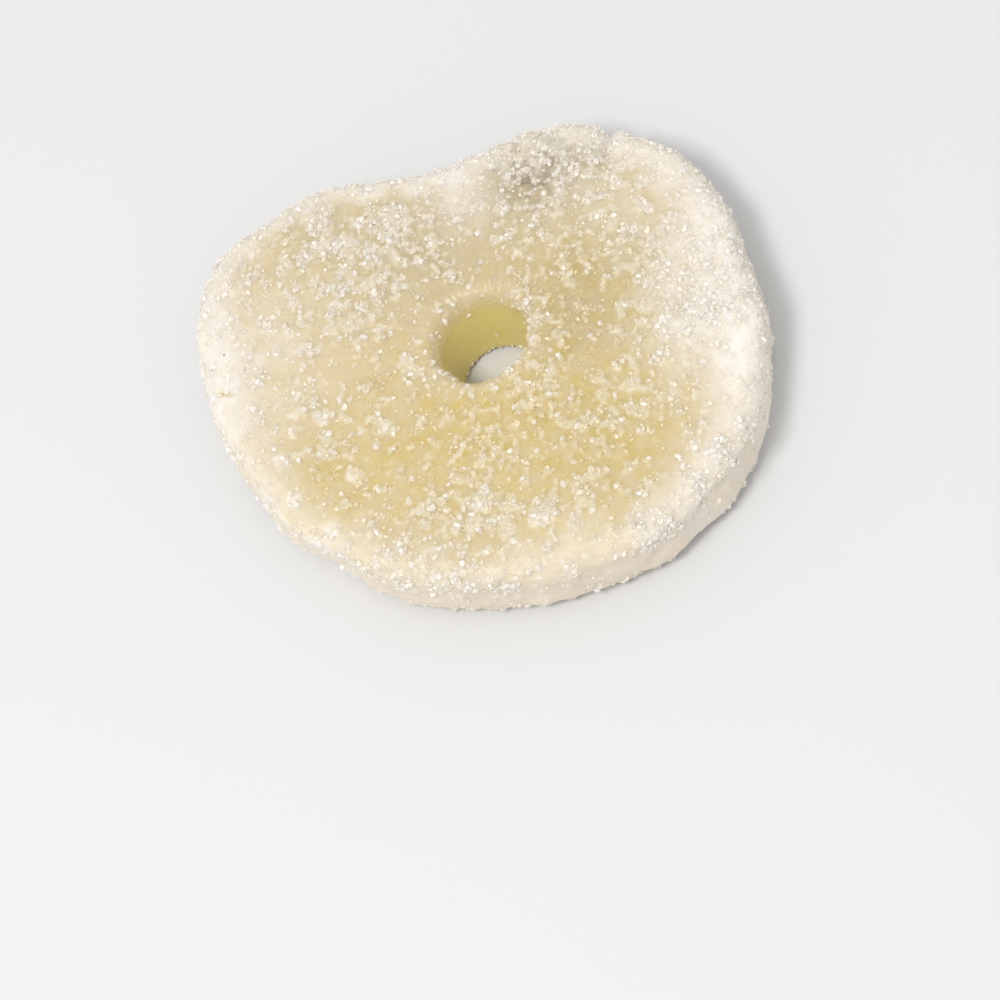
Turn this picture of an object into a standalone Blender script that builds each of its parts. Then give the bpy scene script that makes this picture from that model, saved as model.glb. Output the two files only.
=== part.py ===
"""A candied pineapple ring: a thick slice of pineapple with the core punched out of its
middle, cooked in syrup until the flesh is firm and clear, then rolled in coarse sugar.

It lies flat. The origin is under the middle of the ring, on the surface that it rests on,
+X runs along its longer side and +Z points up. All lengths are in metres.
"""

import math
import random

import bmesh
import bpy
from mathutils import Euler, Matrix, Vector, noise
from mathutils.bvhtree import BVHTree

NAME = "candied_pineapple_ring"

# The slice
THICKNESS = 0.0115
WEDGE = 0.0006  # the slice was cut a little thicker on one side than on the other
WEDGE_DIRECTION = math.radians(-45)
RIM_TOP_EDGE = 0.0029  # rounding of the rim's upper edge, on average
RIM_TOP_VARIES = 0.0020  # how much that rounding varies along the rim
RIM_TOP_PLACES = 4.0  # how often it varies, in noise cells across the ring
RIM_BASE_EDGE = 0.0036  # rounding of the rim's edge at the base
HOLE_EDGE = 0.0023  # rounding of the hole's upper edge
HOLE_BASE_EDGE = 0.0012  # rounding of the hole's edge at the base

# How far the rim lies from the middle, anticlockwise from +X in equal steps. The peeled
# fruit is wider than it is deep, and one side of it is dented.
RIM_REACH = (
    0.0390, 0.0385, 0.0390, 0.0375, 0.0340, 0.0295, 0.0315, 0.0370, 0.0405,
    0.0380, 0.0355, 0.0340, 0.0330, 0.0340, 0.0345, 0.0365, 0.0390, 0.0400,
)  # fmt: skip

# The hole, punched slightly off the upright and narrower at the base
HOLE_TOP = Vector((0.0010, 0.0020, THICKNESS))
HOLE_TOP_RADIUS = 0.0063
HOLE_BASE = Vector((0.0024, -0.0003, 0.0))
HOLE_BASE_RADIUS = 0.0055

# Relief of the cooked flesh
SWELL = 0.0007  # height of the broad swells of both faces
SWELL_SIZE = 0.016
LUMP = 0.0005  # depth of the lumps along the rim
LUMP_SIZE = 0.0065
BASE_LIFT = 0.0007  # how far the base lifts off the surface between its resting patches
BASE_REST = -0.1  # where the base's swell is lower than this, the base rests
BASE_LAYER = 1.0  # the height at which the noise is read for the base, away from the top's

# From the outline's own middle to the middle of the whole ring's box, sugar included
TO_MIDDLE = Vector((0.00022, -0.00002, 0.0))

# Hollows in the upper face: place, radius and depth
HOLLOWS = (
    ((0.0055, 0.0255), 0.0050, 0.0012),
    ((-0.0190, -0.0175), 0.0100, 0.0007),
    ((0.0010, 0.0020), 0.0130, 0.0005),
    ((0.0200, -0.0080), 0.0090, 0.0004),
)
# A crease where two segments of the fruit part, from the rim inwards
CREASE_OUTER = Vector((0.0172, 0.0330))
CREASE_INNER = Vector((0.0157, 0.0225))
CREASE_WIDTH = 0.0022
CREASE_DEPTH = 0.0016

# The mesh grid: steps round the ring, and steps along each stretch of the section
RING_STEPS = 84
FACE_STEPS = 10
RIM_EDGE_STEPS = 4
RIM_SIDE_STEPS = 2
HOLE_EDGE_STEPS = 2
HOLE_WALL_STEPS = 2

# The largest sugar crystals, which are fused to the flesh
CRYSTALS_ON_FACE = 170
CRYSTALS_ON_RIM = 84
CRYSTAL_SMALL = 0.0011
CRYSTAL_LARGE = 0.0017
CRYSTAL_DEPTH = (0.65, 0.9)  # its second side, as a share of its first
CRYSTAL_HEIGHT = (0.7, 1.0)  # its third side, as a share of its first
CRYSTAL_LEAN = 0.35  # how far the block leans at most, as a share of its height
CRYSTAL_SUNK = 0.3  # share of its size that a crystal's middle lies under the surface
CRYSTAL_STRAY = 0.0008  # how far a crystal strays from its even place
HOLE_MARGIN = 0.0026  # even places keep this far from the hole's edge
RIM_MARGIN = 0.0012
RIM_LOW = 0.25  # the crystals on the rim lie between these shares of the thickness
RIM_HIGH = 0.85
GOLDEN_ANGLE = math.pi * (3 - math.sqrt(5))
SUGAR_SEED = 4

FLESH_COLOUR = (0.79, 0.67, 0.43, 1.0)
FLESH_ROUGHNESS = 0.45
CRYSTAL_SHARP = math.radians(40)  # edges sharper than this are the crystals' own


def clear_scene():
    for thing in list(bpy.data.objects):
        bpy.data.objects.remove(thing, do_unlink=True)


def new_collection(name):
    collection = bpy.data.collections.new(name)
    bpy.context.scene.collection.children.link(collection)
    return collection


def flesh_material():
    material = bpy.data.materials.new("sugared_pineapple")
    material.use_nodes = True
    shader = material.node_tree.nodes["Principled BSDF"]
    shader.inputs["Base Color"].default_value = FLESH_COLOUR
    shader.inputs["Roughness"].default_value = FLESH_ROUGHNESS
    shader.inputs["Metallic"].default_value = 0.0
    return material


def rim_reach(direction):
    """Distance from the middle to the rim: a smooth closed curve through RIM_REACH."""
    count = len(RIM_REACH)
    place = (direction / math.tau % 1.0) * count
    first = int(place) % count
    along = place - int(place)
    a, b, c, d = (RIM_REACH[(first + step) % count] for step in (-1, 0, 1, 2))
    bend = 2 * a - 5 * b + 4 * c - d + along * (3 * (b - c) + d - a)
    return b + 0.5 * along * (c - a + along * bend)


def thickness(direction):
    return THICKNESS + WEDGE * math.cos(direction - WEDGE_DIRECTION)


def arc(middle, radius, start, end, steps):
    """Points of an arc in the section, without its last one. Angles are in degrees."""
    points = []
    for step in range(steps):
        angle = math.radians(start + (end - start) * step / steps)
        points.append((middle[0] + radius * math.cos(angle), middle[1] + radius * math.sin(angle)))
    return points


def straight(start, end, steps):
    """Points of a straight stretch of the section, without its last one."""
    points = []
    for step in range(steps):
        share = step / steps
        points.append(tuple(a + (b - a) * share for a, b in zip(start, end)))
    return points


def rim_top_edge(direction):
    """Rounding of the rim's upper edge, which is uneven along the rim."""
    place = Vector((math.cos(direction), math.sin(direction), 0.0)) * RIM_TOP_PLACES
    return RIM_TOP_EDGE + RIM_TOP_VARIES * noise.noise(place)


def section(width, height, top_edge):
    """The ring's section as (distance from the hole, height) points. It starts halfway up
    the rim and runs over the top, down the hole and back along the base."""
    top_in, top_high = width - top_edge, height - top_edge
    base_in, hole_high = width - RIM_BASE_EDGE, height - HOLE_EDGE
    path = straight((width, height / 2), (width, top_high), RIM_SIDE_STEPS // 2)
    path += arc((top_in, top_high), top_edge, 0, 90, RIM_EDGE_STEPS)
    path += straight((top_in, height), (HOLE_EDGE, height), FACE_STEPS)
    path += arc((HOLE_EDGE, hole_high), HOLE_EDGE, 90, 180, HOLE_EDGE_STEPS)
    path += straight((0, hole_high), (0, HOLE_BASE_EDGE), HOLE_WALL_STEPS)
    path += arc((HOLE_BASE_EDGE, HOLE_BASE_EDGE), HOLE_BASE_EDGE, 180, 270, HOLE_EDGE_STEPS)
    path += straight((HOLE_BASE_EDGE, 0), (base_in, 0), FACE_STEPS)
    path += arc((base_in, RIM_BASE_EDGE), RIM_BASE_EDGE, 270, 360, RIM_EDGE_STEPS)
    path += straight((width, RIM_BASE_EDGE), (width, height / 2), RIM_SIDE_STEPS // 2)
    return path


def section_count():
    straights = 2 * FACE_STEPS + HOLE_WALL_STEPS + 2 * (RIM_SIDE_STEPS // 2)
    return straights + 2 * RIM_EDGE_STEPS + 2 * HOLE_EDGE_STEPS


def hole_edge(direction, height):
    """The hole's wall at a height, leaning and tapering from the top to the base."""
    share = height / THICKNESS
    middle = HOLE_BASE.lerp(HOLE_TOP, share)
    radius = HOLE_BASE_RADIUS + (HOLE_TOP_RADIUS - HOLE_BASE_RADIUS) * share
    return Vector((middle.x + radius * math.cos(direction), middle.y + radius * math.sin(direction)))


def smooth_step(value):
    value = min(max(value, 0.0), 1.0)
    return value * value * (3 - 2 * value)


def crease_depth(flat):
    """Depth of the crease under a point of the upper face, deepest at the rim."""
    run = CREASE_INNER - CREASE_OUTER
    along = (flat - CREASE_OUTER).dot(run) / run.length_squared
    aside = (flat - CREASE_OUTER).cross(run) / run.length
    fade = 1 - smooth_step(along)
    return CREASE_DEPTH * fade * math.exp(-((aside / CREASE_WIDTH) ** 2))


def top_drop(flat):
    """How far the upper face lies below a level face at this place."""
    drop = crease_depth(flat)
    for place, radius, depth in HOLLOWS:
        away = (flat - Vector(place)).length / radius
        drop += depth * math.exp(-(away**2))
    return drop - SWELL * noise.noise(Vector((flat.x, flat.y, 0.0)) / SWELL_SIZE)


def base_lift(flat):
    """How far the base lies above the surface that the ring rests on."""
    swell = noise.noise(Vector((flat.x, flat.y, BASE_LAYER)) / SWELL_SIZE)
    return BASE_LIFT * smooth_step((swell - BASE_REST) / (1 - BASE_REST))


def place_point(direction, distance, height, width):
    """Puts a point of the section on the ring, with the relief of the flesh."""
    tall = thickness(direction)
    outward = Vector((math.cos(direction), math.sin(direction)))
    start = hole_edge(direction, height)
    end = outward * rim_reach(direction)
    share = distance / width
    flat = start.lerp(end, share)
    lump = noise.noise(Vector((flat.x, flat.y, height)) / LUMP_SIZE)
    flat += outward * lump * LUMP * smooth_step(share)
    up = height / tall
    drop = top_drop(flat) * smooth_step(up)
    lift = base_lift(flat) * (1 - smooth_step(up))
    return Vector((flat.x, flat.y, height - drop + lift))


def make_slice(collection):
    """Bends a torus into the slice: each ring of its points becomes one section."""
    bpy.ops.mesh.primitive_torus_add(major_segments=RING_STEPS, minor_segments=section_count())
    slice_object = bpy.context.object
    slice_object.name = NAME
    slice_object.data.name = NAME
    for other in list(slice_object.users_collection):
        other.objects.unlink(slice_object)
    collection.objects.link(slice_object)
    points = slice_object.data.vertices
    for ring in range(RING_STEPS):
        direction = math.tau * ring / RING_STEPS
        outward = Vector((math.cos(direction), math.sin(direction)))
        rim = outward * rim_reach(direction)
        width = (rim - hole_edge(direction, THICKNESS / 2)).length
        path = section(width, thickness(direction), rim_top_edge(direction))
        for step, (distance, height) in enumerate(path):
            point = points[ring * section_count() + step]
            point.co = place_point(direction, distance, height, width)
    slice_object.data.update()
    return slice_object


def crystal_mesh(draw):
    """A sugar crystal: a leaning block with sides of uneven length, off square."""
    bm = bmesh.new()
    bmesh.ops.create_cube(bm, size=1.0)
    size = draw.uniform(CRYSTAL_SMALL, CRYSTAL_LARGE)
    lean = Matrix.Identity(4)
    lean[0][2] = draw.uniform(-CRYSTAL_LEAN, CRYSTAL_LEAN)
    depth, height = draw.uniform(*CRYSTAL_DEPTH), draw.uniform(*CRYSTAL_HEIGHT)
    stretch = Matrix.Diagonal((size, size * depth, size * height, 1.0))
    turn = Euler([draw.uniform(0, math.tau) for _ in range(3)]).to_matrix().to_4x4()
    bm.transform(turn @ stretch @ lean)
    mesh = bpy.data.meshes.new("sugar_crystal")
    bm.to_mesh(mesh)
    bm.free()
    return mesh, size


def add_crystal(collection, draw, surface, normal):
    mesh, size = crystal_mesh(draw)
    crystal = bpy.data.objects.new("sugar_crystal", mesh)
    crystal.location = surface - normal * size * CRYSTAL_SUNK
    collection.objects.link(crystal)


def face_places():
    """Even places over the upper face, on a spiral that follows the rim's outline."""
    for number in range(CRYSTALS_ON_FACE):
        direction = number * GOLDEN_ANGLE
        share = math.sqrt((number + 0.5) / CRYSTALS_ON_FACE)
        outward = Vector((math.cos(direction), math.sin(direction)))
        start = hole_edge(direction, THICKNESS) + outward * HOLE_MARGIN
        end = outward * (rim_reach(direction) - RIM_MARGIN)
        # The spiral's share of the area is kept while its inner end is moved to the hole.
        inner = start.length / end.length
        yield start.lerp(end, (math.sqrt(inner**2 + share**2 * (1 - inner**2)) - inner) / (1 - inner))


def rim_places():
    """Even places round the rim, at heights that step up and down it."""
    for number in range(CRYSTALS_ON_RIM):
        direction = math.tau * number / CRYSTALS_ON_RIM
        share = (number * GOLDEN_ANGLE / math.tau) % 1.0
        height = THICKNESS * (RIM_LOW + (RIM_HIGH - RIM_LOW) * share)
        yield direction, height


def make_crystals(collection, slice_object):
    draw = random.Random(SUGAR_SEED)
    tree = BVHTree.FromObject(slice_object, bpy.context.evaluated_depsgraph_get())
    for flat in face_places():
        flat += Vector((draw.uniform(-1, 1), draw.uniform(-1, 1))) * CRYSTAL_STRAY
        start = Vector((flat.x, flat.y, 2 * THICKNESS))
        surface, normal, _, _ = tree.ray_cast(start, Vector((0, 0, -1)))
        add_crystal(collection, draw, surface, normal)
    for direction, height in rim_places():
        direction += draw.uniform(-1, 1) * CRYSTAL_STRAY / rim_reach(direction)
        outward = Vector((math.cos(direction), math.sin(direction), 0.0))
        start = outward * 2 * rim_reach(direction) + Vector((0, 0, height))
        surface, normal, _, _ = tree.ray_cast(start, -outward)
        add_crystal(collection, draw, surface, normal)


def fuse(body, collection):
    """Joins the crystals to the slice as one solid, then removes them."""
    join = body.modifiers.new("fuse_sugar", "BOOLEAN")
    join.operation = "UNION"
    join.operand_type = "COLLECTION"
    join.collection = collection
    bpy.context.view_layer.objects.active = body
    bpy.ops.object.modifier_apply(modifier=join.name)
    for crystal in list(collection.objects):
        bpy.data.objects.remove(crystal, do_unlink=True)
    bpy.data.collections.remove(collection)


def keep_largest(body):
    """Drops whatever isn't joined to the slice, which also fills a sealed hollow."""
    bm = bmesh.new()
    bm.from_mesh(body.data)
    left = set(bm.verts)
    pieces = []
    while left:
        edge = [left.pop()]
        piece = set(edge)
        while edge:
            for link in edge.pop().link_edges:
                for vert in link.verts:
                    if vert in left:
                        left.remove(vert)
                        piece.add(vert)
                        edge.append(vert)
        pieces.append(piece)
    pieces.sort(key=len)
    for piece in pieces[:-1]:
        bmesh.ops.delete(bm, geom=list(piece), context="VERTS")
    bmesh.ops.triangulate(bm, faces=bm.faces)
    bm.to_mesh(body.data)
    bm.free()


def main():
    clear_scene()
    ring = new_collection(NAME)
    sugar = new_collection("sugar_crystals")
    body = make_slice(ring)
    make_crystals(sugar, body)
    fuse(body, sugar)
    keep_largest(body)
    body.data.transform(Matrix.Translation(-TO_MIDDLE))
    body.data.materials.append(flesh_material())
    body.data.shade_smooth()
    body.data.set_sharp_from_angle(angle=CRYSTAL_SHARP)


main()
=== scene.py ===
"""The looks of a candied pineapple ring: a slice of pineapple with its core punched out,
cooked in syrup until it is pale and clear, and rolled in coarse sugar while it was sticky.

The ring lies flat on the floor, with the middle of its box over the origin. Metres, +Z up.
"""

import math

import bmesh
import bpy
import numpy as np
from mathutils import Matrix, Vector, noise


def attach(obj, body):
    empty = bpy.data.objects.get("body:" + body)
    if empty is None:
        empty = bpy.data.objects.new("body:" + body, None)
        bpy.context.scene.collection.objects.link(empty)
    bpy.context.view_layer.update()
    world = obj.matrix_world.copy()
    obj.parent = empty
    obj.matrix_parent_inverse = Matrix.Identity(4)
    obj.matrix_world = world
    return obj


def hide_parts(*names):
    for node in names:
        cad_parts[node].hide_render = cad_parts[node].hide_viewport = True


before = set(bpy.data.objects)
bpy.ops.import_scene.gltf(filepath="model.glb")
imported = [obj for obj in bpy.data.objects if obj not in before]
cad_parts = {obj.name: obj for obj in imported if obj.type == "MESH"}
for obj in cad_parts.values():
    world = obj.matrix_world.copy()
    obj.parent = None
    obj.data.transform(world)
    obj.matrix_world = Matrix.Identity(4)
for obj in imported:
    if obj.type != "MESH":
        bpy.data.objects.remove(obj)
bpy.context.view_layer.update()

scene = bpy.context.scene


# Camera
# It looks down on the ring from 30 degrees off the upright, over the ring's lower right
# side, and is turned so that the ring's +Y side is up in the picture.

CAMERA_LEAN = math.radians(30)
CAMERA_SIDE = math.radians(-63)
CAMERA_DISTANCE = 0.5
CAMERA_LENS = 133.8  # millimetres, on a sensor 36 mm wide
CAMERA_CLIP = 0.01
RING_MIDDLE = Vector((-0.00025, 0.00285, 0.00575))
# The ring lies above the middle of the picture, so the camera aims a little past it.
AIM_RIGHT = 0.0025
AIM_DOWN = 0.0205

side = Vector((math.cos(CAMERA_SIDE), math.sin(CAMERA_SIDE), 0.0))
across = Vector((-side.y, side.x, 0.0))
upright = Vector((0.0, 0.0, 1.0))
towards_camera = side * math.sin(CAMERA_LEAN) + upright * math.cos(CAMERA_LEAN)
tilted_side = side * math.cos(CAMERA_LEAN) - upright * math.sin(CAMERA_LEAN)
picture_right = tilted_side * side.x + across * across.x
picture_up = tilted_side * side.y + across * across.y
camera_place = RING_MIDDLE + towards_camera * CAMERA_DISTANCE
aim = RING_MIDDLE + picture_right * AIM_RIGHT - picture_up * AIM_DOWN
back = (camera_place - aim).normalized()
right = picture_up.cross(back).normalized()
up = back.cross(right)
turn = Matrix((right, up, back)).transposed()

camera = bpy.data.objects.new("camera", bpy.data.cameras.new("camera"))
camera.data.lens = CAMERA_LENS
camera.data.clip_start = CAMERA_CLIP
camera.matrix_world = Matrix.Translation(camera_place) @ turn.to_4x4()
scene.collection.objects.link(camera)
scene.camera = camera
scene.view_settings.view_transform = "Standard"


# Floor and light
# A flat pale studio floor under plain soft light: one softbox high over the ring, to the left
# and the front of it, and the rest from the white room around.

FLOOR_SIDE = 4.0
FLOOR_WHITE = (0.66, 0.66, 0.66, 1.0)
FLOOR_ROUGHNESS = 0.9
ROOM_WHITE = (1.0, 1.0, 1.0, 1.0)
ROOM_LIGHT = 0.85
SOFTBOX_PLACE = Vector((-0.14, -0.32, 0.73))
SOFTBOX_SIDE = 0.20
SOFTBOX_POWER = 3.4

bpy.ops.mesh.primitive_plane_add(size=FLOOR_SIDE)
floor = bpy.context.object
floor.name = "studio_floor"
floor_material = bpy.data.materials.new("studio_white")
floor_material.use_nodes = True
floor_shader = floor_material.node_tree.nodes["Principled BSDF"]
floor_shader.inputs["Base Color"].default_value = FLOOR_WHITE
floor_shader.inputs["Roughness"].default_value = FLOOR_ROUGHNESS
floor_shader.inputs["Specular IOR Level"].default_value = 0.0
floor.data.materials.append(floor_material)

room = bpy.data.worlds.new("white_room")
room.use_nodes = True
room.node_tree.nodes["Background"].inputs["Color"].default_value = ROOM_WHITE
room.node_tree.nodes["Background"].inputs["Strength"].default_value = ROOM_LIGHT
scene.world = room

softbox_light = bpy.data.lights.new("softbox", "AREA")
softbox_light.shape = "SQUARE"
softbox_light.size = SOFTBOX_SIDE
softbox_light.energy = SOFTBOX_POWER
softbox = bpy.data.objects.new("softbox", softbox_light)
softbox.location = SOFTBOX_PLACE
softbox.rotation_euler = SOFTBOX_PLACE.to_track_quat("Z", "Y").to_euler()
scene.collection.objects.link(softbox)


# The slice of fruit
# Firm, clear pineapple flesh about 11.5 mm thick, with a punched hole. Its outline is the
# peeled fruit's, dented on one side, and the syrup has drawn its faces into soft swells.

THICKNESS = 0.0115
WEDGE = 0.0006  # thicker by this at one side, and thinner at the other
WEDGE_DIRECTION = math.radians(-45)
RIM_TOP_EDGE = 0.0029
RIM_TOP_VARIES = 0.0020
RIM_TOP_PLACES = 4.0
RIM_BASE_EDGE = 0.0036
HOLE_EDGE = 0.0023
HOLE_BASE_EDGE = 0.0012
# The outline, as how far it lies from the middle at every 20 degrees from +X
RIM_REACH = np.array((
    0.0390, 0.0385, 0.0390, 0.0375, 0.0340, 0.0295, 0.0315, 0.0370, 0.0405,
    0.0380, 0.0355, 0.0340, 0.0330, 0.0340, 0.0345, 0.0365, 0.0390, 0.0400,
))  # fmt: skip
HOLE_TOP = np.array((0.0010, 0.0020))
HOLE_TOP_RADIUS = 0.0063
HOLE_BASE = np.array((0.0024, -0.0003))
HOLE_BASE_RADIUS = 0.0055
SWELL = 0.0007
SWELL_SIZE = 0.016
LUMP = 0.0005
LUMP_SIZE = 0.0065
BASE_LIFT = 0.0007
BASE_REST = -0.1
BASE_LAYER = 1.0
TO_MIDDLE = np.array((0.00022, -0.00002, 0.0))
# Each hollow's place, radius and depth
HOLLOWS = (
    ((0.0055, 0.0255), 0.0050, 0.0012),
    ((-0.0190, -0.0175), 0.0100, 0.0007),
    ((0.0010, 0.0020), 0.0130, 0.0005),
    ((0.0200, -0.0080), 0.0090, 0.0004),
)
CREASE_OUTER = np.array((0.0172, 0.0330))
CREASE_INNER = np.array((0.0157, 0.0225))
CREASE_WIDTH = 0.0022
CREASE_DEPTH = 0.0016

RING_STEPS = 396
FACE_STEPS = 80
RIM_EDGE_STEPS = 18
RIM_SIDE_STEPS = 8
HOLE_EDGE_STEPS = 10
HOLE_WALL_STEPS = 16


def smooth_step(value):
    value = np.clip(value, 0.0, 1.0)
    return value * value * (3 - 2 * value)


def noise_at(points, size):
    """Smooth noise from about -1 to 1 at each point, its lumps about this size."""
    return np.array([noise.noise(point) for point in (points / size).tolist()])


def rim_reach(direction):
    count = len(RIM_REACH)
    place = (direction / math.tau % 1.0) * count
    first = place.astype(int) % count
    along = place - place.astype(int)
    a, b, c, d = (RIM_REACH[(first + step) % count] for step in (-1, 0, 1, 2))
    bend = 2 * a - 5 * b + 4 * c - d + along * (3 * (b - c) + d - a)
    return b + 0.5 * along * (c - a + along * bend)


def arc(middle, radius, start, end, steps):
    angle = np.radians(start + (end - start) * np.arange(steps) / steps)
    x = middle[0][:, None] + radius[:, None] * np.cos(angle)
    return np.stack((x, middle[1][:, None] + radius[:, None] * np.sin(angle)), axis=2)


def straight(start, end, steps):
    share = np.arange(steps) / steps
    ends = [(a[:, None], b[:, None]) for a, b in zip(start, end)]
    return np.stack([a + (b - a) * share for a, b in ends], axis=2)


def section(width, tall, top_edge):
    """The ring's section for each direction: halfway up the rim, over, down the hole, back."""
    none = np.zeros_like(width)
    top_in, top_high = width - top_edge, tall - top_edge
    base_edge = none + RIM_BASE_EDGE
    base_in = width - base_edge
    hole_in, hole_high = none + HOLE_EDGE, tall - HOLE_EDGE
    hole_low = none + HOLE_BASE_EDGE
    stretches = (
        straight((width, tall / 2), (width, top_high), RIM_SIDE_STEPS // 2),
        arc((top_in, top_high), top_edge, 0, 90, RIM_EDGE_STEPS),
        straight((top_in, tall), (hole_in, tall), FACE_STEPS),
        arc((hole_in, hole_high), hole_in, 90, 180, HOLE_EDGE_STEPS),
        straight((none, hole_high), (none, hole_low), HOLE_WALL_STEPS),
        arc((hole_low, hole_low), hole_low, 180, 270, HOLE_EDGE_STEPS),
        straight((hole_low, none), (base_in, none), FACE_STEPS),
        arc((base_in, base_edge), base_edge, 270, 360, RIM_EDGE_STEPS),
        straight((width, base_edge), (width, tall / 2), RIM_SIDE_STEPS // 2),
    )
    return np.concatenate(stretches, axis=1)


def hole_edge(outward, height):
    share = (height / THICKNESS)[..., None]
    radius = HOLE_BASE_RADIUS + (HOLE_TOP_RADIUS - HOLE_BASE_RADIUS) * share
    return HOLE_BASE + (HOLE_TOP - HOLE_BASE) * share + outward * radius


def crease_place(flat):
    """How far along the crease from the rim, from 0 to 1, and how far aside of it."""
    run = CREASE_INNER - CREASE_OUTER
    length = np.hypot(*run)
    along = (flat - CREASE_OUTER) @ run / length**2
    aside = (flat - CREASE_OUTER) @ np.array((run[1], -run[0])) / length
    return along, aside


def crease_depth(flat):
    along, aside = crease_place(flat)
    return CREASE_DEPTH * (1 - smooth_step(along)) * np.exp(-((aside / CREASE_WIDTH) ** 2))


def with_height(flat, height):
    return np.column_stack((flat, np.broadcast_to(height, len(flat))))


def top_drop(flat):
    drop = crease_depth(flat)
    for place, radius, depth in HOLLOWS:
        drop += depth * np.exp(-(np.linalg.norm(flat - place, axis=1) / radius) ** 2)
    return drop - SWELL * noise_at(with_height(flat, 0.0), SWELL_SIZE)


def base_lift(flat):
    swell = noise_at(with_height(flat, BASE_LAYER), SWELL_SIZE)
    return BASE_LIFT * smooth_step((swell - BASE_REST) / (1 - BASE_REST))


direction = np.arange(RING_STEPS) * math.tau / RING_STEPS
outward = np.stack((np.cos(direction), np.sin(direction)), axis=1)
tall = THICKNESS + WEDGE * np.cos(direction - WEDGE_DIRECTION)
rim = outward * rim_reach(direction)[:, None]
hole_middle = hole_edge(outward, np.full(RING_STEPS, THICKNESS / 2))
width = np.linalg.norm(rim - hole_middle, axis=1)
rim_places = with_height(outward * RIM_TOP_PLACES, 0.0)
path = section(width, tall, RIM_TOP_EDGE + RIM_TOP_VARIES * noise_at(rim_places, 1.0))
section_steps = path.shape[1]

# Every point of the grid, direction by direction
point_outward = np.repeat(outward, section_steps, axis=0)
distance = path[:, :, 0].reshape(-1)
height = path[:, :, 1].reshape(-1)
share_out = distance / np.repeat(width, section_steps)
share_up = height / np.repeat(tall, section_steps)
start = hole_edge(point_outward, height)
flat = start + (np.repeat(rim, section_steps, axis=0) - start) * share_out[:, None]
lump = noise_at(with_height(flat, 0.0) + height[:, None] * (0, 0, 1), LUMP_SIZE)
flat = flat + point_outward * (lump * LUMP * smooth_step(share_out))[:, None]
height = height - top_drop(flat) * smooth_step(share_up)
height = height + base_lift(flat) * (1 - smooth_step(share_up))
points = with_height(flat, 0.0)
points[:, 2] = height
points -= TO_MIDDLE

# Where the syrup was wettest: there the sugar gathers into a crust, in spots a few
# millimetres wide, in broader drifts, along the upper edge, and caked in ridges and lumps
CLUSTER_SIZE = 0.0019
CLUSTER_STRENGTH = 0.75
CLUSTER_TEXTURE = 0.0009
TEXTURE_STRENGTH = 0.65
DRIFT_SIZE = 0.008
DRIFT_STRENGTH = 0.35
EDGE_BAND = 0.0028
EDGE_CRUST = 0.20
RIDGE_CRUST = 0.8
CRUST_START = 0.05
CRUST_FADE = 0.5
HOLE_FADE = 0.25  # the share of the rounded edge over which the hole's wall begins
UPPER_HALF = 0.5  # this and the next two are heights, as shares of the thickness
UPPER_EDGE = 0.6
UPPER_FACE = 0.9
# Each drift's place, reach and strength
CRUSTED = (
    ((0.0280, 0.0090), 0.0140, 0.35),
    ((0.0150, 0.0260), 0.0090, 0.30),
    ((0.0060, 0.0280), 0.0070, 0.25),
    ((-0.0220, 0.0180), 0.0130, 0.35),
    ((0.0030, -0.0290), 0.0120, 0.10),
)
# The ridges first, and then the lumps: each one's place and reach
RIDGES = (
    ((0.0366, -0.0136), 0.0012),
    ((0.0332, -0.0175), 0.0014),
    ((0.0304, -0.0215), 0.0014),
    ((0.0265, -0.0261), 0.0014),
    ((0.0244, -0.0284), 0.0014),
    ((0.0270, 0.0022), 0.0016),
    ((0.0310, 0.0032), 0.0016),
    ((0.0350, 0.0042), 0.0016),
    ((-0.0201, -0.0088), 0.0009),
    ((-0.0253, -0.0152), 0.0009),
    ((-0.0232, -0.0206), 0.0011),
    ((-0.0174, -0.0254), 0.0011),
    ((-0.0112, -0.0108), 0.0009),
    ((-0.0152, -0.0178), 0.0008),
    ((0.0027, -0.0229), 0.0010),
    ((0.0108, -0.0251), 0.0012),
)


def near(place, reach):
    """From 1 at this place on the ring to 0 well away from it."""
    return np.exp(-(np.linalg.norm(points[:, :2] - place, axis=1) / reach) ** 2)


def pooled(pools):
    """How strongly each point lies in these pools, each with its place, reach and strength."""
    return sum(strength * near(place, reach) for place, reach, strength in pools)


cluster = CLUSTER_STRENGTH * noise_at(points, CLUSTER_SIZE)
cluster += TEXTURE_STRENGTH * noise_at(points, CLUSTER_TEXTURE)
cluster += DRIFT_STRENGTH * noise_at(points, DRIFT_SIZE)
cluster += pooled(CRUSTED)
ridges = np.clip(sum(near(place, reach) for place, reach in RIDGES), 0.0, 1.0)
ridges *= share_up > UPPER_EDGE
to_rim = np.repeat(width, section_steps) - distance
edge = smooth_step((EDGE_BAND - to_rim) / EDGE_BAND) * (share_up > UPPER_HALF)
crust = cluster + RIDGE_CRUST * ridges + EDGE_CRUST * edge
clusters = smooth_step((crust - CRUST_START) / CRUST_FADE)
in_hole = 1 - smooth_step(distance / (HOLE_FADE * HOLE_EDGE))

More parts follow.
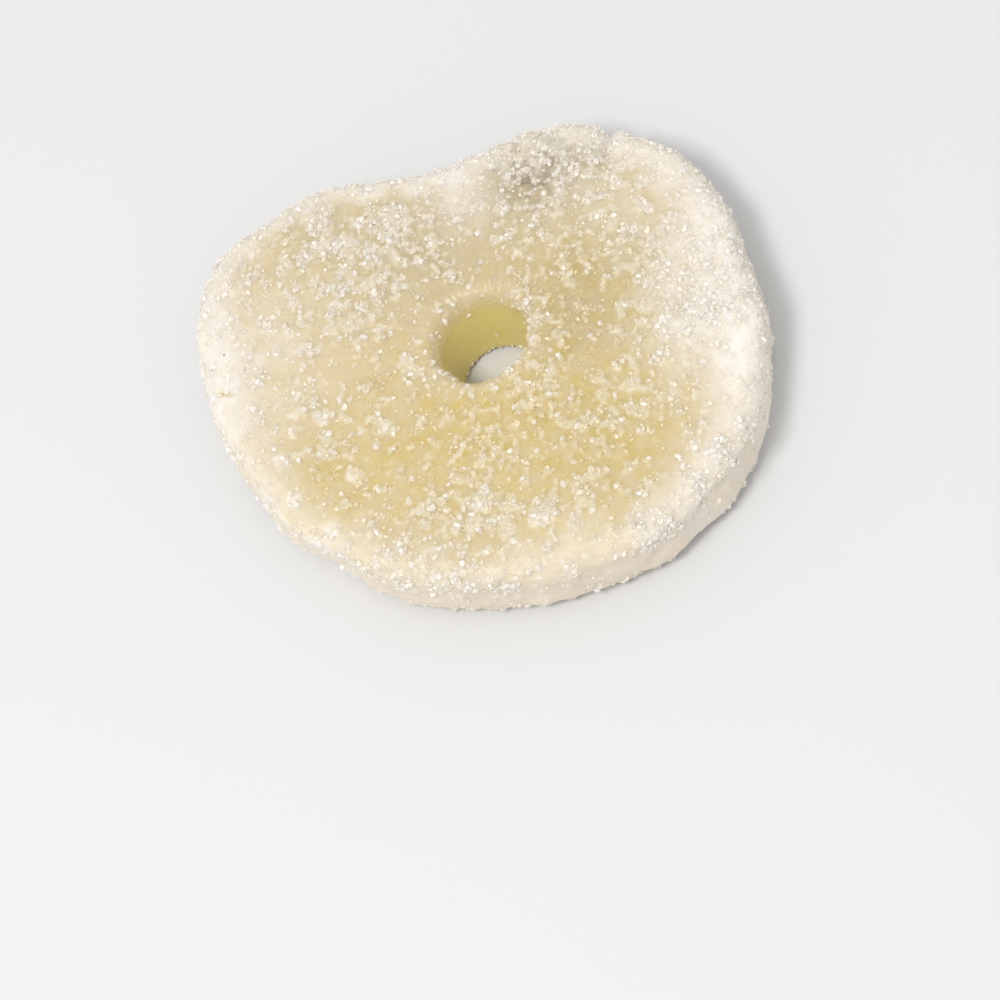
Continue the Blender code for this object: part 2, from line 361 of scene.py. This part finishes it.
# Where the syrup is deep and yellow, and where the skin is frosted white with fine sugar
# instead: in a ragged band along the rim, and in patches
SYRUP_POOLS = (
    ((0.0030, -0.0105), 0.0155, 1.0),
    ((-0.0190, -0.0190), 0.0090, 0.65),
    ((0.0230, -0.0150), 0.0095, 0.75),
    ((0.0150, 0.0080), 0.0098, 1.0),
)
LIP_MIDDLE = 0.0016
LIP_REACH = 0.0018
LIP_DRYNESS = 0.6
FROST_BAND = 0.0016
FROST_FADE = 0.0060
FROST_RAGGED = 0.0030
FROST_PATCH = 0.0032
FROST_AT_FRONT = 0.5
FROST_BEHIND = 0.8
FRONT_END = 0.010
FRONT_FADE = 0.030
POOL_STRENGTH = 0.8
POOL_RAGGED = 0.7
SYRUP_MELTS = 0.75
FROST_POOLS = (
    ((0.0320, 0.0090), 0.0105, 0.90),
    ((-0.0345, -0.0020), 0.0115, 0.75),
    ((-0.0020, 0.0236), 0.0052, 0.70),
    ((0.0068, 0.0282), 0.0048, -0.80),
    ((0.0150, 0.0210), 0.0070, 0.35),
    ((0.0320, -0.0230), 0.0080, 0.55),
    ((0.0390, -0.0060), 0.0090, 0.60),
    ((-0.0260, -0.0230), 0.0060, 0.50),
    ((-0.0190, -0.0280), 0.0040, 0.50),
)

lip = np.exp(-(((distance - LIP_MIDDLE) / LIP_REACH) ** 2))
syrup = np.clip(pooled(SYRUP_POOLS), 0.0, 1.0) * (1 - LIP_DRYNESS * lip)
ragged = noise_at(points, FROST_PATCH)
frost = 1 - smooth_step((to_rim + ragged * FROST_RAGGED - FROST_BAND) / FROST_FADE)
front = smooth_step((FRONT_END - points[:, 1]) / FRONT_FADE)
frost *= FROST_BEHIND + (FROST_AT_FRONT - FROST_BEHIND) * front
frost += pooled(FROST_POOLS) * (POOL_STRENGTH + POOL_RAGGED * ragged)
frost = np.clip(frost, 0.0, 1.0) * (1 - in_hole)
frost *= 1 - SYRUP_MELTS * syrup * (share_up > UPPER_FACE)

# The skin's own fine relief: crumples, the fibres that ran out from the core, the rise of
# the crust, the groove at the bottom of the crease, and pits in the hollow at the lobe
CRUST_RISE = 0.00018
RIDGE_RISE = 0.00040
RIDGE_BREAKS = 0.4
GROOVE_WIDTH = 0.0005
GROOVE_DEPTH = 0.0007
PITTED = np.array((0.0065, 0.0265))
PITTED_REACH = 0.0040
PIT_DEPTH = 0.0006
PIT_SIZE = 0.0015
PIT_SHARE = 0.5
PIT_STEEPNESS = 1.5
CRUMPLE = 0.00018
CRUMPLE_SIZE = 0.0026
WRINKLE = 0.00007
WRINKLE_SIZE = 0.0012
FROST_WRINKLES = 1.2
HOLE_SMOOTHNESS = 0.85
FIBRE = 0.00009
FIBRES_ROUND = 14.0
FIBRES_OUT = 2.5

grid = points.reshape(RING_STEPS, section_steps, 3)
along_ring = np.roll(grid, -1, axis=0) - np.roll(grid, 1, axis=0)
along_section = np.roll(grid, -1, axis=1) - np.roll(grid, 1, axis=1)
normals = np.cross(along_ring, along_section).reshape(-1, 3)
normals /= np.linalg.norm(normals, axis=1)[:, None]
fibre = noise_at(with_height(point_outward * FIBRES_ROUND, share_out * FIBRES_OUT), 1.0)
relief = CRUMPLE * noise_at(points, CRUMPLE_SIZE)
relief += WRINKLE * (1 + FROST_WRINKLES * frost) * noise_at(points, WRINKLE_SIZE)
relief = relief + FIBRE * fibre + CRUST_RISE * clusters
relief += RIDGE_RISE * ridges * smooth_step(cluster + RIDGE_BREAKS)
relief *= 1 - HOLE_SMOOTHNESS * in_hole
crease_along, crease_aside = crease_place(points[:, :2] + TO_MIDDLE[:2])
groove = np.exp(-((crease_aside / GROOVE_WIDTH) ** 2))
groove *= (1 - smooth_step(crease_along)) * (share_up > UPPER_HALF)
relief -= GROOVE_DEPTH * groove
pits = smooth_step(PIT_SHARE + PIT_STEEPNESS * noise_at(points, PIT_SIZE))
relief -= PIT_DEPTH * near(PITTED, PITTED_REACH) * pits * (share_up > UPPER_FACE)
points += normals * relief[:, None]
points[:, 2] = np.maximum(points[:, 2], 0.0)

# The skin is lofted from section to section, all the way round.
ring = np.arange(RING_STEPS)[:, None]
step = np.arange(section_steps)[None, :]
next_ring = (ring + 1) % RING_STEPS
next_step = (step + 1) % section_steps
corners = ((ring, step), (next_ring, step), (next_ring, next_step), (ring, next_step))
quads = np.stack([a * section_steps + b for a, b in corners], axis=2).reshape(-1, 4)
flesh_mesh = bpy.data.meshes.new("pineapple_flesh")
flesh_mesh.from_pydata(points.tolist(), [], quads.tolist())
flesh_mesh.shade_smooth()
flesh = bpy.data.objects.new("pineapple_flesh", flesh_mesh)
scene.collection.objects.link(flesh)

# Where the frost is whitest, where the skin is dull grey with painted shade, where the hole's
# wall is golden, where the cut side is bare of sugar and where a fibre shows brown, each from 0
# to 1
WHITE_PLACE = np.array((0.0360, 0.0060))
WHITE_REACH = 0.0150
RIDGE_WHITE = 0.7
# Each pool's place, reach and strength. The grey is partly the skin's own dull tone and partly
# painted shade, darkening the top of the ring and the hollow at the lobe where shadow falls.
DULL_AND_SHADE_POOLS = (
    ((0.0072, 0.0283), 0.0068, 0.95),
    ((0.0115, 0.0315), 0.0060, 0.25),
    ((-0.0060, 0.0160), 0.0110, 0.35),
    ((-0.0235, 0.0215), 0.0070, 0.20),
    ((0.0160, 0.0120), 0.0090, 0.20),
    ((0.0130, 0.0030), 0.0080, 0.25),
)
GOLDEN_TOP = 0.95
GOLDEN_FADE = 0.30
SIDE_TOP = 0.85
SIDE_FADE = 0.25
SIDE_BASE = 0.12
BARE_AT_BASE = 0.45
BARE_BEHIND = 0.35
# Each fibre's place, half its length and width, and its strength
BROWN_FIBRES = (
    ((-0.0339, -0.0048), (0.0009, 0.0003), 1.0),
    ((-0.0142, -0.0040), (0.0020, 0.0007), 0.45),
)

whitest = near(WHITE_PLACE, WHITE_REACH) * frost + RIDGE_WHITE * ridges
whitest = np.clip(whitest, 0.0, 1.0)
dull_and_shade = np.clip(pooled(DULL_AND_SHADE_POOLS), 0.0, 1.0)
golden = in_hole * smooth_step((GOLDEN_TOP - share_up) / GOLDEN_FADE)
cut_side = smooth_step((SIDE_TOP - share_up) / SIDE_FADE) * (to_rim < RIM_BASE_EDGE)
above_base = smooth_step((share_up - SIDE_BASE) / SIDE_FADE)
cut_side *= BARE_AT_BASE + (1 - BARE_AT_BASE) * above_base
cut_side *= BARE_BEHIND + (1 - BARE_BEHIND) * front
brown = sum(
    strength * np.exp(-(((points[:, :2] - place) / reach) ** 2).sum(axis=1))
    for place, reach, strength in BROWN_FIBRES
)

masks = {
    "frost": frost,
    "whitest": whitest,
    "golden": golden,
    "syrup": syrup,
    "dull_and_shade": dull_and_shade,
    "fibre": 0.5 + 0.5 * fibre,
    "cut_side": cut_side,
    "crust": clusters * (1 - in_hole),
    "brown": brown,
}
for name, values in masks.items():
    attribute = flesh_mesh.attributes.new(name, "FLOAT", "POINT")
    attribute.data.foreach_set("value", values.astype(np.float32))

# The flesh is pale, and yellow where the syrup is deep, with cream and white frost, a
# creamy crust and side, a dull grey that is partly painted shade over the top of the ring and
# in its hollow, a golden hole, brown fibres and a few dark specks.
YELLOW = (0.57, 0.435, 0.14, 1.0)
PALE = (0.625, 0.525, 0.345, 1.0)
CREAM = (0.76, 0.715, 0.655, 1.0)
WHITE = (0.85, 0.80, 0.735, 1.0)
SIDE_CREAM = (0.76, 0.67, 0.56, 1.0)
CRUST = (0.72, 0.66, 0.55, 1.0)
# A grey-brown that is partly the skin's dull tone and partly painted shade
DULL_AND_SHADE = (0.375, 0.315, 0.215, 1.0)
GOLDEN = (0.72, 0.61, 0.245, 1.0)
BROWN = (0.50, 0.36, 0.12, 1.0)
SPECK = (0.20, 0.12, 0.05, 1.0)
PATCH_SCALE = 420.0
PATCH_DETAIL = 4.0
# Each of these: a low and a high value of the pattern, and the colour's share at each
MOTTLE = (0.35, 0.65, 0.4, 1.1)
STREAKS = (0.3, 0.7, 0.75, 1.0)
SYRUP_YELLOW = (0.0, 1.0, 0.25, 1.0)
FROST_PATCHES = (0.3, 0.6, 0.7, 1.0)
CRUST_PATCHES = (0.35, 0.6, 0.3, 0.75)
SIDE_STREAKS = (0.3, 0.7, 0.5, 0.9)
SPECK_SCALE = 260.0
SPECK_REACH = 0.045
SPECK_HEART = 0.6 * SPECK_REACH
SPECKS_KEPT = (0.95, 0.951)
SYRUP_ROUGHNESS = 0.36
FROST_ROUGHNESS = 0.7
ALL_FROST = 0.8
CLEAR_FLESH = 0.8
FLESH_DEPTH = 0.0022
FLESH_DEPTH_COLOURS = (1.0, 0.85, 0.6)
GRAIN_SCALE = 1800.0
GRAIN_DETAIL = 3.0
GRAIN_STRENGTH = 0.9
GRAIN_HEIGHT = 0.00015

flesh_material = bpy.data.materials.new("candied_flesh")
flesh_material.use_nodes = True
tree = flesh_material.node_tree
flesh_shader = tree.nodes["Principled BSDF"]
place = tree.nodes.new("ShaderNodeTexCoord")


def mask(name):
    node = tree.nodes.new("ShaderNodeAttribute")
    node.attribute_name = name
    return node.outputs["Fac"]


def blend(tree, share, start, end):
    """A colour node's output that runs from one colour to another by this share."""
    node = tree.nodes.new("ShaderNodeMix")
    node.data_type = "RGBA"
    tree.links.new(share, node.inputs["Factor"])
    for socket, colour in zip((node.inputs[6], node.inputs[7]), (start, end)):
        if isinstance(colour, tuple):
            socket.default_value = colour
        else:
            tree.links.new(colour, socket)
    return node.outputs[2]


def spread(tree, value, low, high, to_low=0.0, to_high=1.0):
    """A value node's output that runs from to_low to to_high as value runs low to high."""
    node = tree.nodes.new("ShaderNodeMapRange")
    node.inputs["From Min"].default_value = low
    node.inputs["From Max"].default_value = high
    node.inputs["To Min"].default_value = to_low
    node.inputs["To Max"].default_value = to_high
    tree.links.new(value, node.inputs["Value"])
    return node.outputs["Result"]


def product(first, second):
    node = tree.nodes.new("ShaderNodeMath")
    node.operation = "MULTIPLY"
    tree.links.new(first, node.inputs[0])
    tree.links.new(second, node.inputs[1])
    return node.outputs["Value"]


patches = tree.nodes.new("ShaderNodeTexNoise")
patches.inputs["Scale"].default_value = PATCH_SCALE
patches.inputs["Detail"].default_value = PATCH_DETAIL
tree.links.new(place.outputs["Object"], patches.inputs["Vector"])
patch = patches.outputs["Fac"]
streak = spread(tree, mask("fibre"), *STREAKS)
yellow_share = product(spread(tree, mask("syrup"), *SYRUP_YELLOW), spread(tree, patch, *MOTTLE))
colour = blend(tree, product(yellow_share, streak), PALE, YELLOW)
# The dull grey blended in here is partly painted shade over the top of the ring and its hollow
colour = blend(tree, mask("dull_and_shade"), colour, DULL_AND_SHADE)
frost_share = product(mask("frost"), spread(tree, patch, *FROST_PATCHES))
colour = blend(tree, frost_share, colour, CREAM)
colour = blend(tree, mask("whitest"), colour, WHITE)
crust_share = product(mask("crust"), spread(tree, patch, *CRUST_PATCHES))
colour = blend(tree, crust_share, colour, CRUST)
side_share = product(mask("cut_side"), spread(tree, mask("fibre"), *SIDE_STREAKS))
colour = blend(tree, side_share, colour, SIDE_CREAM)
colour = blend(tree, mask("golden"), colour, GOLDEN)
colour = blend(tree, mask("brown"), colour, BROWN)
specks = tree.nodes.new("ShaderNodeTexVoronoi")
specks.inputs["Scale"].default_value = SPECK_SCALE
tree.links.new(place.outputs["Object"], specks.inputs["Vector"])
speck_number = tree.nodes.new("ShaderNodeSeparateColor")
tree.links.new(specks.outputs["Color"], speck_number.inputs["Color"])
few = spread(tree, speck_number.outputs["Red"], *SPECKS_KEPT)
speck = spread(tree, specks.outputs["Distance"], SPECK_REACH, SPECK_HEART)
colour = blend(tree, product(speck, few), colour, SPECK)
tree.links.new(colour, flesh_shader.inputs["Base Color"])
roughness = spread(tree, mask("frost"), 0.0, ALL_FROST, SYRUP_ROUGHNESS, FROST_ROUGHNESS)
tree.links.new(roughness, flesh_shader.inputs["Roughness"])
flesh_shader.inputs["Subsurface Weight"].default_value = CLEAR_FLESH
flesh_shader.inputs["Subsurface Radius"].default_value = FLESH_DEPTH_COLOURS
flesh_shader.inputs["Subsurface Scale"].default_value = FLESH_DEPTH
grain = tree.nodes.new("ShaderNodeTexNoise")
grain.inputs["Scale"].default_value = GRAIN_SCALE
grain.inputs["Detail"].default_value = GRAIN_DETAIL
tree.links.new(place.outputs["Object"], grain.inputs["Vector"])
bump = tree.nodes.new("ShaderNodeBump")
bump.inputs["Strength"].default_value = GRAIN_STRENGTH
bump.inputs["Distance"].default_value = GRAIN_HEIGHT
tree.links.new(grain.outputs["Fac"], bump.inputs["Height"])
tree.links.new(bump.outputs["Normal"], flesh_shader.inputs["Normal"])
flesh_mesh.materials.append(flesh_material)

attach(flesh, "root")
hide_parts("candied_pineapple_ring")


# Coarse sugar
# Clear granulated crystals of 0.5 to 1.1 mm, leaning blocks with bevelled edges. They stuck
# where the syrup was wettest, in clusters and along the far edge, and hardly in the hole.

COARSE_COUNT = 3500
COARSE_SIZE = (0.0005, 0.0011)
COARSE_SUNK = 0.15  # the share of a crystal's size that its middle is sunk in the skin
COARSE_BEVEL = 0.22
COARSE_CLARITY = (0.03, 0.78)  # how solid a crystal's clearest and whitest faces are
COARSE_SEED = 11
COARSE_EVERYWHERE = 0.12
COARSE_ON_RIDGES = 0.5
COARSE_LESS_IN_FROST = 0.2
CLEAN_SUGAR = (0.97, 0.92, 0.85, 1.0)
STAINED_SUGAR = (0.96, 0.85, 0.60, 1.0)
STAIN_VARIES = (0.7, 1.1)
LEAST_STAIN = 0.2
FROST_CLEANS = 0.75
SUGAR_IOR = 1.5
CLOUD_SCALE = 900.0
CLOUD_DETAIL = 2.0
CLOUD_SHADE = (0.35, 0.65, 0.88, 1.0)
CLOUD_ROUGHNESS = (0.3, 0.7, 0.06, 0.3)
CRYSTAL_GLINT = 0.4  # how much of a face's glint its whole crystal shares
NARROWEST = (0.65, 0.55, 0.8)
WIDEST = (1.0, 0.85, 1.15)
UNEVEN = 0.06  # how far a crystal's corners stray, as a share of its size
LEAN = 0.35
FACE_SPREAD = 0.45

# Where the sugar lies: hardly any in the hole above its base lip, on the bare side or on
# the left part of the hole's upper lip, and the most at the edge on the far side
SIDE_BARENESS = 0.88
BASE_SUGAR = 0.5
BASE_SUGAR_START = 0.05
BASE_SUGAR_FADE = 0.2
BASE_LIP = 0.0008
BASE_LIP_SUGAR = 2.0
HOLE_BARENESS = 0.97
BARE_LIP_END = 0.006
BARE_LIP_FADE = 0.005
LIP_BARENESS = 0.6
LIP_SUGAR = 0.5
FAR_FADE = 0.008
FAR_EDGE_SUGAR = 0.9


def sugar_shape(bevel):
    """The corners and faces of a unit block with its edges cut back by this much."""
    shape = bmesh.new()
    bmesh.ops.create_cube(shape, size=1.0)
    if bevel:
        bmesh.ops.bevel(shape, geom=shape.edges[:], offset=bevel, segments=1, affect="EDGES")
    corners = np.array([vert.co for vert in shape.verts])
    faces = [[vert.index for vert in face.verts] for face in shape.faces]
    shape.free()
    return corners, faces


def scatter(count, weight, draw):
    """Random places on the skin and the skin's normals there, more where weight is high."""
    quad_corners = points[quads]
    a, b, c, d = (quad_corners[:, corner] for corner in range(4))
    crossed = np.cross(c - a, d - b)
    area = np.linalg.norm(crossed, axis=1)
    chance = area * weight[quads[:, 0]]
    chosen = draw.choice(len(quads), size=count, p=chance / chance.sum())
    s, t = draw.random((2, count, 1))
    a, b, c, d = (quad_corners[chosen, corner] for corner in range(4))
    places = (1 - s) * (1 - t) * a + s * (1 - t) * b + s * t * c + (1 - s) * t * d
    return places, crossed[chosen] / area[chosen, None], quads[chosen, 0]


def random_turns(count, draw):
    w, x, y, z = draw.normal(size=(4, count))
    length = np.sqrt(w * w + x * x + y * y + z * z)
    w, x, y, z = w / length, x / length, y / length, z / length
    rows = (
        (1 - 2 * (y * y + z * z), 2 * (x * y - w * z), 2 * (x * z + w * y)),
        (2 * (x * y + w * z), 1 - 2 * (x * x + z * z), 2 * (y * z - w * x)),
        (2 * (x * z - w * y), 2 * (y * z + w * x), 1 - 2 * (x * x + y * y)),
    )
    return np.moveaxis(np.array(rows), 2, 0)


def spread_out(mesh):
    """Lays every face flat in a square of its own, so that each can hold its own colour."""
    side = math.ceil(math.sqrt(len(mesh.polygons)))
    flat_map = mesh.uv_layers.new(name="OFBake")
    starts = np.empty(len(mesh.polygons), dtype=int)
    totals = np.empty(len(mesh.polygons), dtype=int)
    mesh.polygons.foreach_get("loop_start", starts)
    mesh.polygons.foreach_get("loop_total", totals)
    owner = np.repeat(np.arange(len(starts)), totals)
    step = np.arange(len(owner)) - starts[owner]
    angle = math.tau * step / totals[owner]
    cell = np.stack((owner % side, owner // side), axis=1) + 0.5
    round_cell = np.stack((np.cos(angle), np.sin(angle)), axis=1)
    places = (cell + FACE_SPREAD * round_cell) / side
    flat_map.data.foreach_set("uv", places.astype(np.float32).reshape(-1))


def sugar_finish():
    """A node group: sugar runs from clear to stained with syrup, cloudier in places."""
    group = bpy.data.node_groups.new("sugar_finish", "ShaderNodeTree")
    for label in ("Clean", "Stained"):
        group.interface.new_socket(label, in_out="INPUT", socket_type="NodeSocketColor")
    for label in ("Stain", "Glint", "Clearest", "Whitest"):
        group.interface.new_socket(label, in_out="INPUT", socket_type="NodeSocketFloat")
    group.interface.new_socket("Color", in_out="OUTPUT", socket_type="NodeSocketColor")
    group.interface.new_socket("Roughness", in_out="OUTPUT", socket_type="NodeSocketFloat")
    group.interface.new_socket("Alpha", in_out="OUTPUT", socket_type="NodeSocketFloat")
    nodes, links = group.nodes, group.links
    given = nodes.new("NodeGroupInput")
    put_out = nodes.new("NodeGroupOutput")
    place = nodes.new("ShaderNodeTexCoord")
    cloud = nodes.new("ShaderNodeTexNoise")
    cloud.inputs["Scale"].default_value = CLOUD_SCALE
    cloud.inputs["Detail"].default_value = CLOUD_DETAIL
    links.new(place.outputs["Object"], cloud.inputs["Vector"])
    colours = (given.outputs["Clean"], given.outputs["Stained"])
    stained = blend(group, given.outputs["Stain"], *colours)
    shade = nodes.new("ShaderNodeMix")
    shade.data_type = "RGBA"
    shade.blend_type = "MULTIPLY"
    shade.inputs["Factor"].default_value = 1.0
    links.new(stained, shade.inputs[6])
    links.new(spread(group, cloud.outputs["Fac"], *CLOUD_SHADE), shade.inputs[7])
    links.new(shade.outputs[2], put_out.inputs["Color"])
    roughness = spread(group, cloud.outputs["Fac"], *CLOUD_ROUGHNESS)
    links.new(roughness, put_out.inputs["Roughness"])
    see_through = nodes.new("ShaderNodeMapRange")
    links.new(given.outputs["Glint"], see_through.inputs["Value"])
    links.new(given.outputs["Clearest"], see_through.inputs["To Min"])
    links.new(given.outputs["Whitest"], see_through.inputs["To Max"])
    links.new(see_through.outputs["Result"], put_out.inputs["Alpha"])
    return group


def sugar_material(name, clean, stained, clarity):
    material = bpy.data.materials.new(name)
    material.use_nodes = True
    nodes, links = material.node_tree.nodes, material.node_tree.links
    shader = nodes["Principled BSDF"]
    finish = nodes.new("ShaderNodeGroup")
    finish.node_tree = finish_group
    finish.inputs["Clean"].default_value = clean
    finish.inputs["Stained"].default_value = stained
    finish.inputs["Clearest"].default_value = clarity[0]
    finish.inputs["Whitest"].default_value = clarity[1]
    for label in ("stain", "glint"):
        share = nodes.new("ShaderNodeAttribute")
        share.attribute_name = label
        links.new(share.outputs["Fac"], finish.inputs[label.capitalize()])
    links.new(finish.outputs["Color"], shader.inputs["Base Color"])
    links.new(finish.outputs["Roughness"], shader.inputs["Roughness"])
    links.new(finish.outputs["Alpha"], shader.inputs["Alpha"])
    shader.inputs["IOR"].default_value = SUGAR_IOR
    return material


def sugar(name, count, sizes, bevel, sunk, weight, material, seed):
    """One mesh of many crystals, each with its own size, lean and turn, sunk in the skin."""
    draw = np.random.default_rng(seed)
    places, normals, nearest = scatter(count, weight, draw)
    size = draw.uniform(*sizes, count)
    corners, faces = sugar_shape(bevel)
    sides = size[:, None] * draw.uniform(NARROWEST, WIDEST, (count, 3))
    block = (corners + draw.uniform(-UNEVEN, UNEVEN, (count, len(corners), 3))) * sides[:, None]
    block[:, :, 0] += block[:, :, 2] * draw.uniform(-LEAN, LEAN, (count, 1))
    block = np.einsum("kij,kmj->kmi", random_turns(count, draw), block)
    block += (places - normals * size[:, None] * sunk)[:, None]
    lowest = block[:, :, 2].min(axis=1)
    block[:, :, 2] += np.maximum(-lowest, 0.0)[:, None]
    many = []
    for first in range(0, count * len(corners), len(corners)):
        many += [[corner + first for corner in face] for face in faces]
    mesh = bpy.data.meshes.new(name)
    mesh.from_pydata(block.reshape(-1, 3).tolist(), [], many)
    mesh.materials.append(material)
    stained = stain[nearest] * draw.uniform(*STAIN_VARIES, count)
    attribute = mesh.attributes.new("stain", "FLOAT", "POINT")
    attribute.data.foreach_set("value", np.repeat(stained, len(corners)).astype(np.float32))
    glint = CRYSTAL_GLINT * draw.random((count, 1))
    glint = glint + (1 - CRYSTAL_GLINT) * draw.random((count, len(faces)))
    attribute = mesh.attributes.new("glint", "FLOAT", "FACE")
    attribute.data.foreach_set("value", glint.reshape(-1).astype(np.float32))
    spread_out(mesh)
    piece = bpy.data.objects.new(name, mesh)
    scene.collection.objects.link(piece)
    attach(piece, "root")


stain = np.clip(LEAST_STAIN + (1 - LEAST_STAIN) * syrup, 0.0, 1.0) * (1 - FROST_CLEANS * frost)
finish_group = sugar_finish()
clear_sugar = sugar_material("clear_sugar", CLEAN_SUGAR, STAINED_SUGAR, COARSE_CLARITY)

above_base = smooth_step((share_up - BASE_SUGAR_START) / BASE_SUGAR_FADE)
upper = (1 - SIDE_BARENESS * cut_side) * (BASE_SUGAR + (1 - BASE_SUGAR) * above_base)
on_lip = lip * (share_up > UPPER_EDGE)
bare_lip = on_lip * smooth_step((BARE_LIP_END - points[:, 0]) / BARE_LIP_FADE)
bare_hole = 1 - HOLE_BARENESS * in_hole * smooth_step((height - BASE_LIP) / BASE_LIP)
held = upper * bare_hole * (1 - brown) * (1 - LIP_BARENESS * bare_lip)
lip_sugar = LIP_SUGAR * on_lip * (1 - bare_lip)
lip_sugar += BASE_LIP_SUGAR * (distance < 2 * HOLE_BASE_EDGE) * (height < 2 * BASE_LIP)
far_edge = edge * smooth_step(points[:, 1] / FAR_FADE)
coarse_weight = COARSE_EVERYWHERE + clusters + COARSE_ON_RIDGES * ridges
coarse_weight = coarse_weight * (1 - COARSE_LESS_IN_FROST * frost) * held
coarse_weight += FAR_EDGE_SUGAR * far_edge
sugar("coarse_sugar", COARSE_COUNT, COARSE_SIZE, COARSE_BEVEL, COARSE_SUNK,
      coarse_weight, clear_sugar, COARSE_SEED)


# White sugar
# The cloudiest crystals, which look white. They lie in the hearts of the clusters and in
# the caked ridges and lumps, and stick up a little further than the clear ones.

CLOUDY_COUNT = 1300
CLOUDY_SIZE = (0.0005, 0.0010)
CLOUDY_SUNK = 0.1
CLOUDY_CLARITY = (0.3, 0.95)
CLOUDY_SEED = 14
CLOUDY_EVERYWHERE = 0.06
CLOUDY_ON_RIDGES = 1.5
CLOUDY_LESS_IN_SYRUP = 0.4
CLOUDY_CLEAN = (0.98, 0.94, 0.89, 1.0)
CLOUDY_STAINED = (0.98, 0.92, 0.80, 1.0)

cloudy_sugar = sugar_material("cloudy_sugar", CLOUDY_CLEAN, CLOUDY_STAINED, CLOUDY_CLARITY)
cloudy_weight = CLOUDY_EVERYWHERE + clusters**2 + CLOUDY_ON_RIDGES * ridges
cloudy_weight = cloudy_weight * (1 - CLOUDY_LESS_IN_SYRUP * syrup) * held
sugar("cloudy_sugar", CLOUDY_COUNT, CLOUDY_SIZE, COARSE_BEVEL, CLOUDY_SUNK,
      cloudy_weight, cloudy_sugar, CLOUDY_SEED)


# Fine sugar
# Smaller crystals and broken grains with sharp edges, which fill in between the coarse
# ones and gather on the hole's lips. The smallest lie more where the skin is frosted.

MEDIUM_COUNT = 4600
MEDIUM_SIZE = (0.00032, 0.0006)
MEDIUM_SEED = 12
MEDIUM_EVERYWHERE = 0.25
MEDIUM_LESS_IN_FROST = 0.4
FINE_COUNT = 3200
FINE_SIZE = (0.0002, 0.00035)
FINE_SEED = 13
FINE_EVERYWHERE = 0.4
FINE_OFF_FROST = 0.8
FINE_MORE_IN_FROST = 0.3
FINE_SUNK = 0.1
FINE_BEVEL = 0.0
FINE_CLARITY = (0.1, 0.9)
FINE_CLEAN = (0.94, 0.89, 0.82, 1.0)
FINE_STAINED = (0.90, 0.77, 0.45, 1.0)

fine_sugar = sugar_material("fine_sugar", FINE_CLEAN, FINE_STAINED, FINE_CLARITY)
medium_weight = MEDIUM_EVERYWHERE + clusters + lip_sugar
medium_weight = medium_weight * (1 - MEDIUM_LESS_IN_FROST * frost) * held
sugar("medium_sugar", MEDIUM_COUNT, MEDIUM_SIZE, FINE_BEVEL, FINE_SUNK,
      medium_weight, fine_sugar, MEDIUM_SEED)
fine_weight = FINE_EVERYWHERE + clusters + lip_sugar
fine_weight = fine_weight * (FINE_OFF_FROST + FINE_MORE_IN_FROST * frost) * held
sugar("fine_sugar", FINE_COUNT, FINE_SIZE, FINE_BEVEL, FINE_SUNK,
      fine_weight, fine_sugar, FINE_SEED)
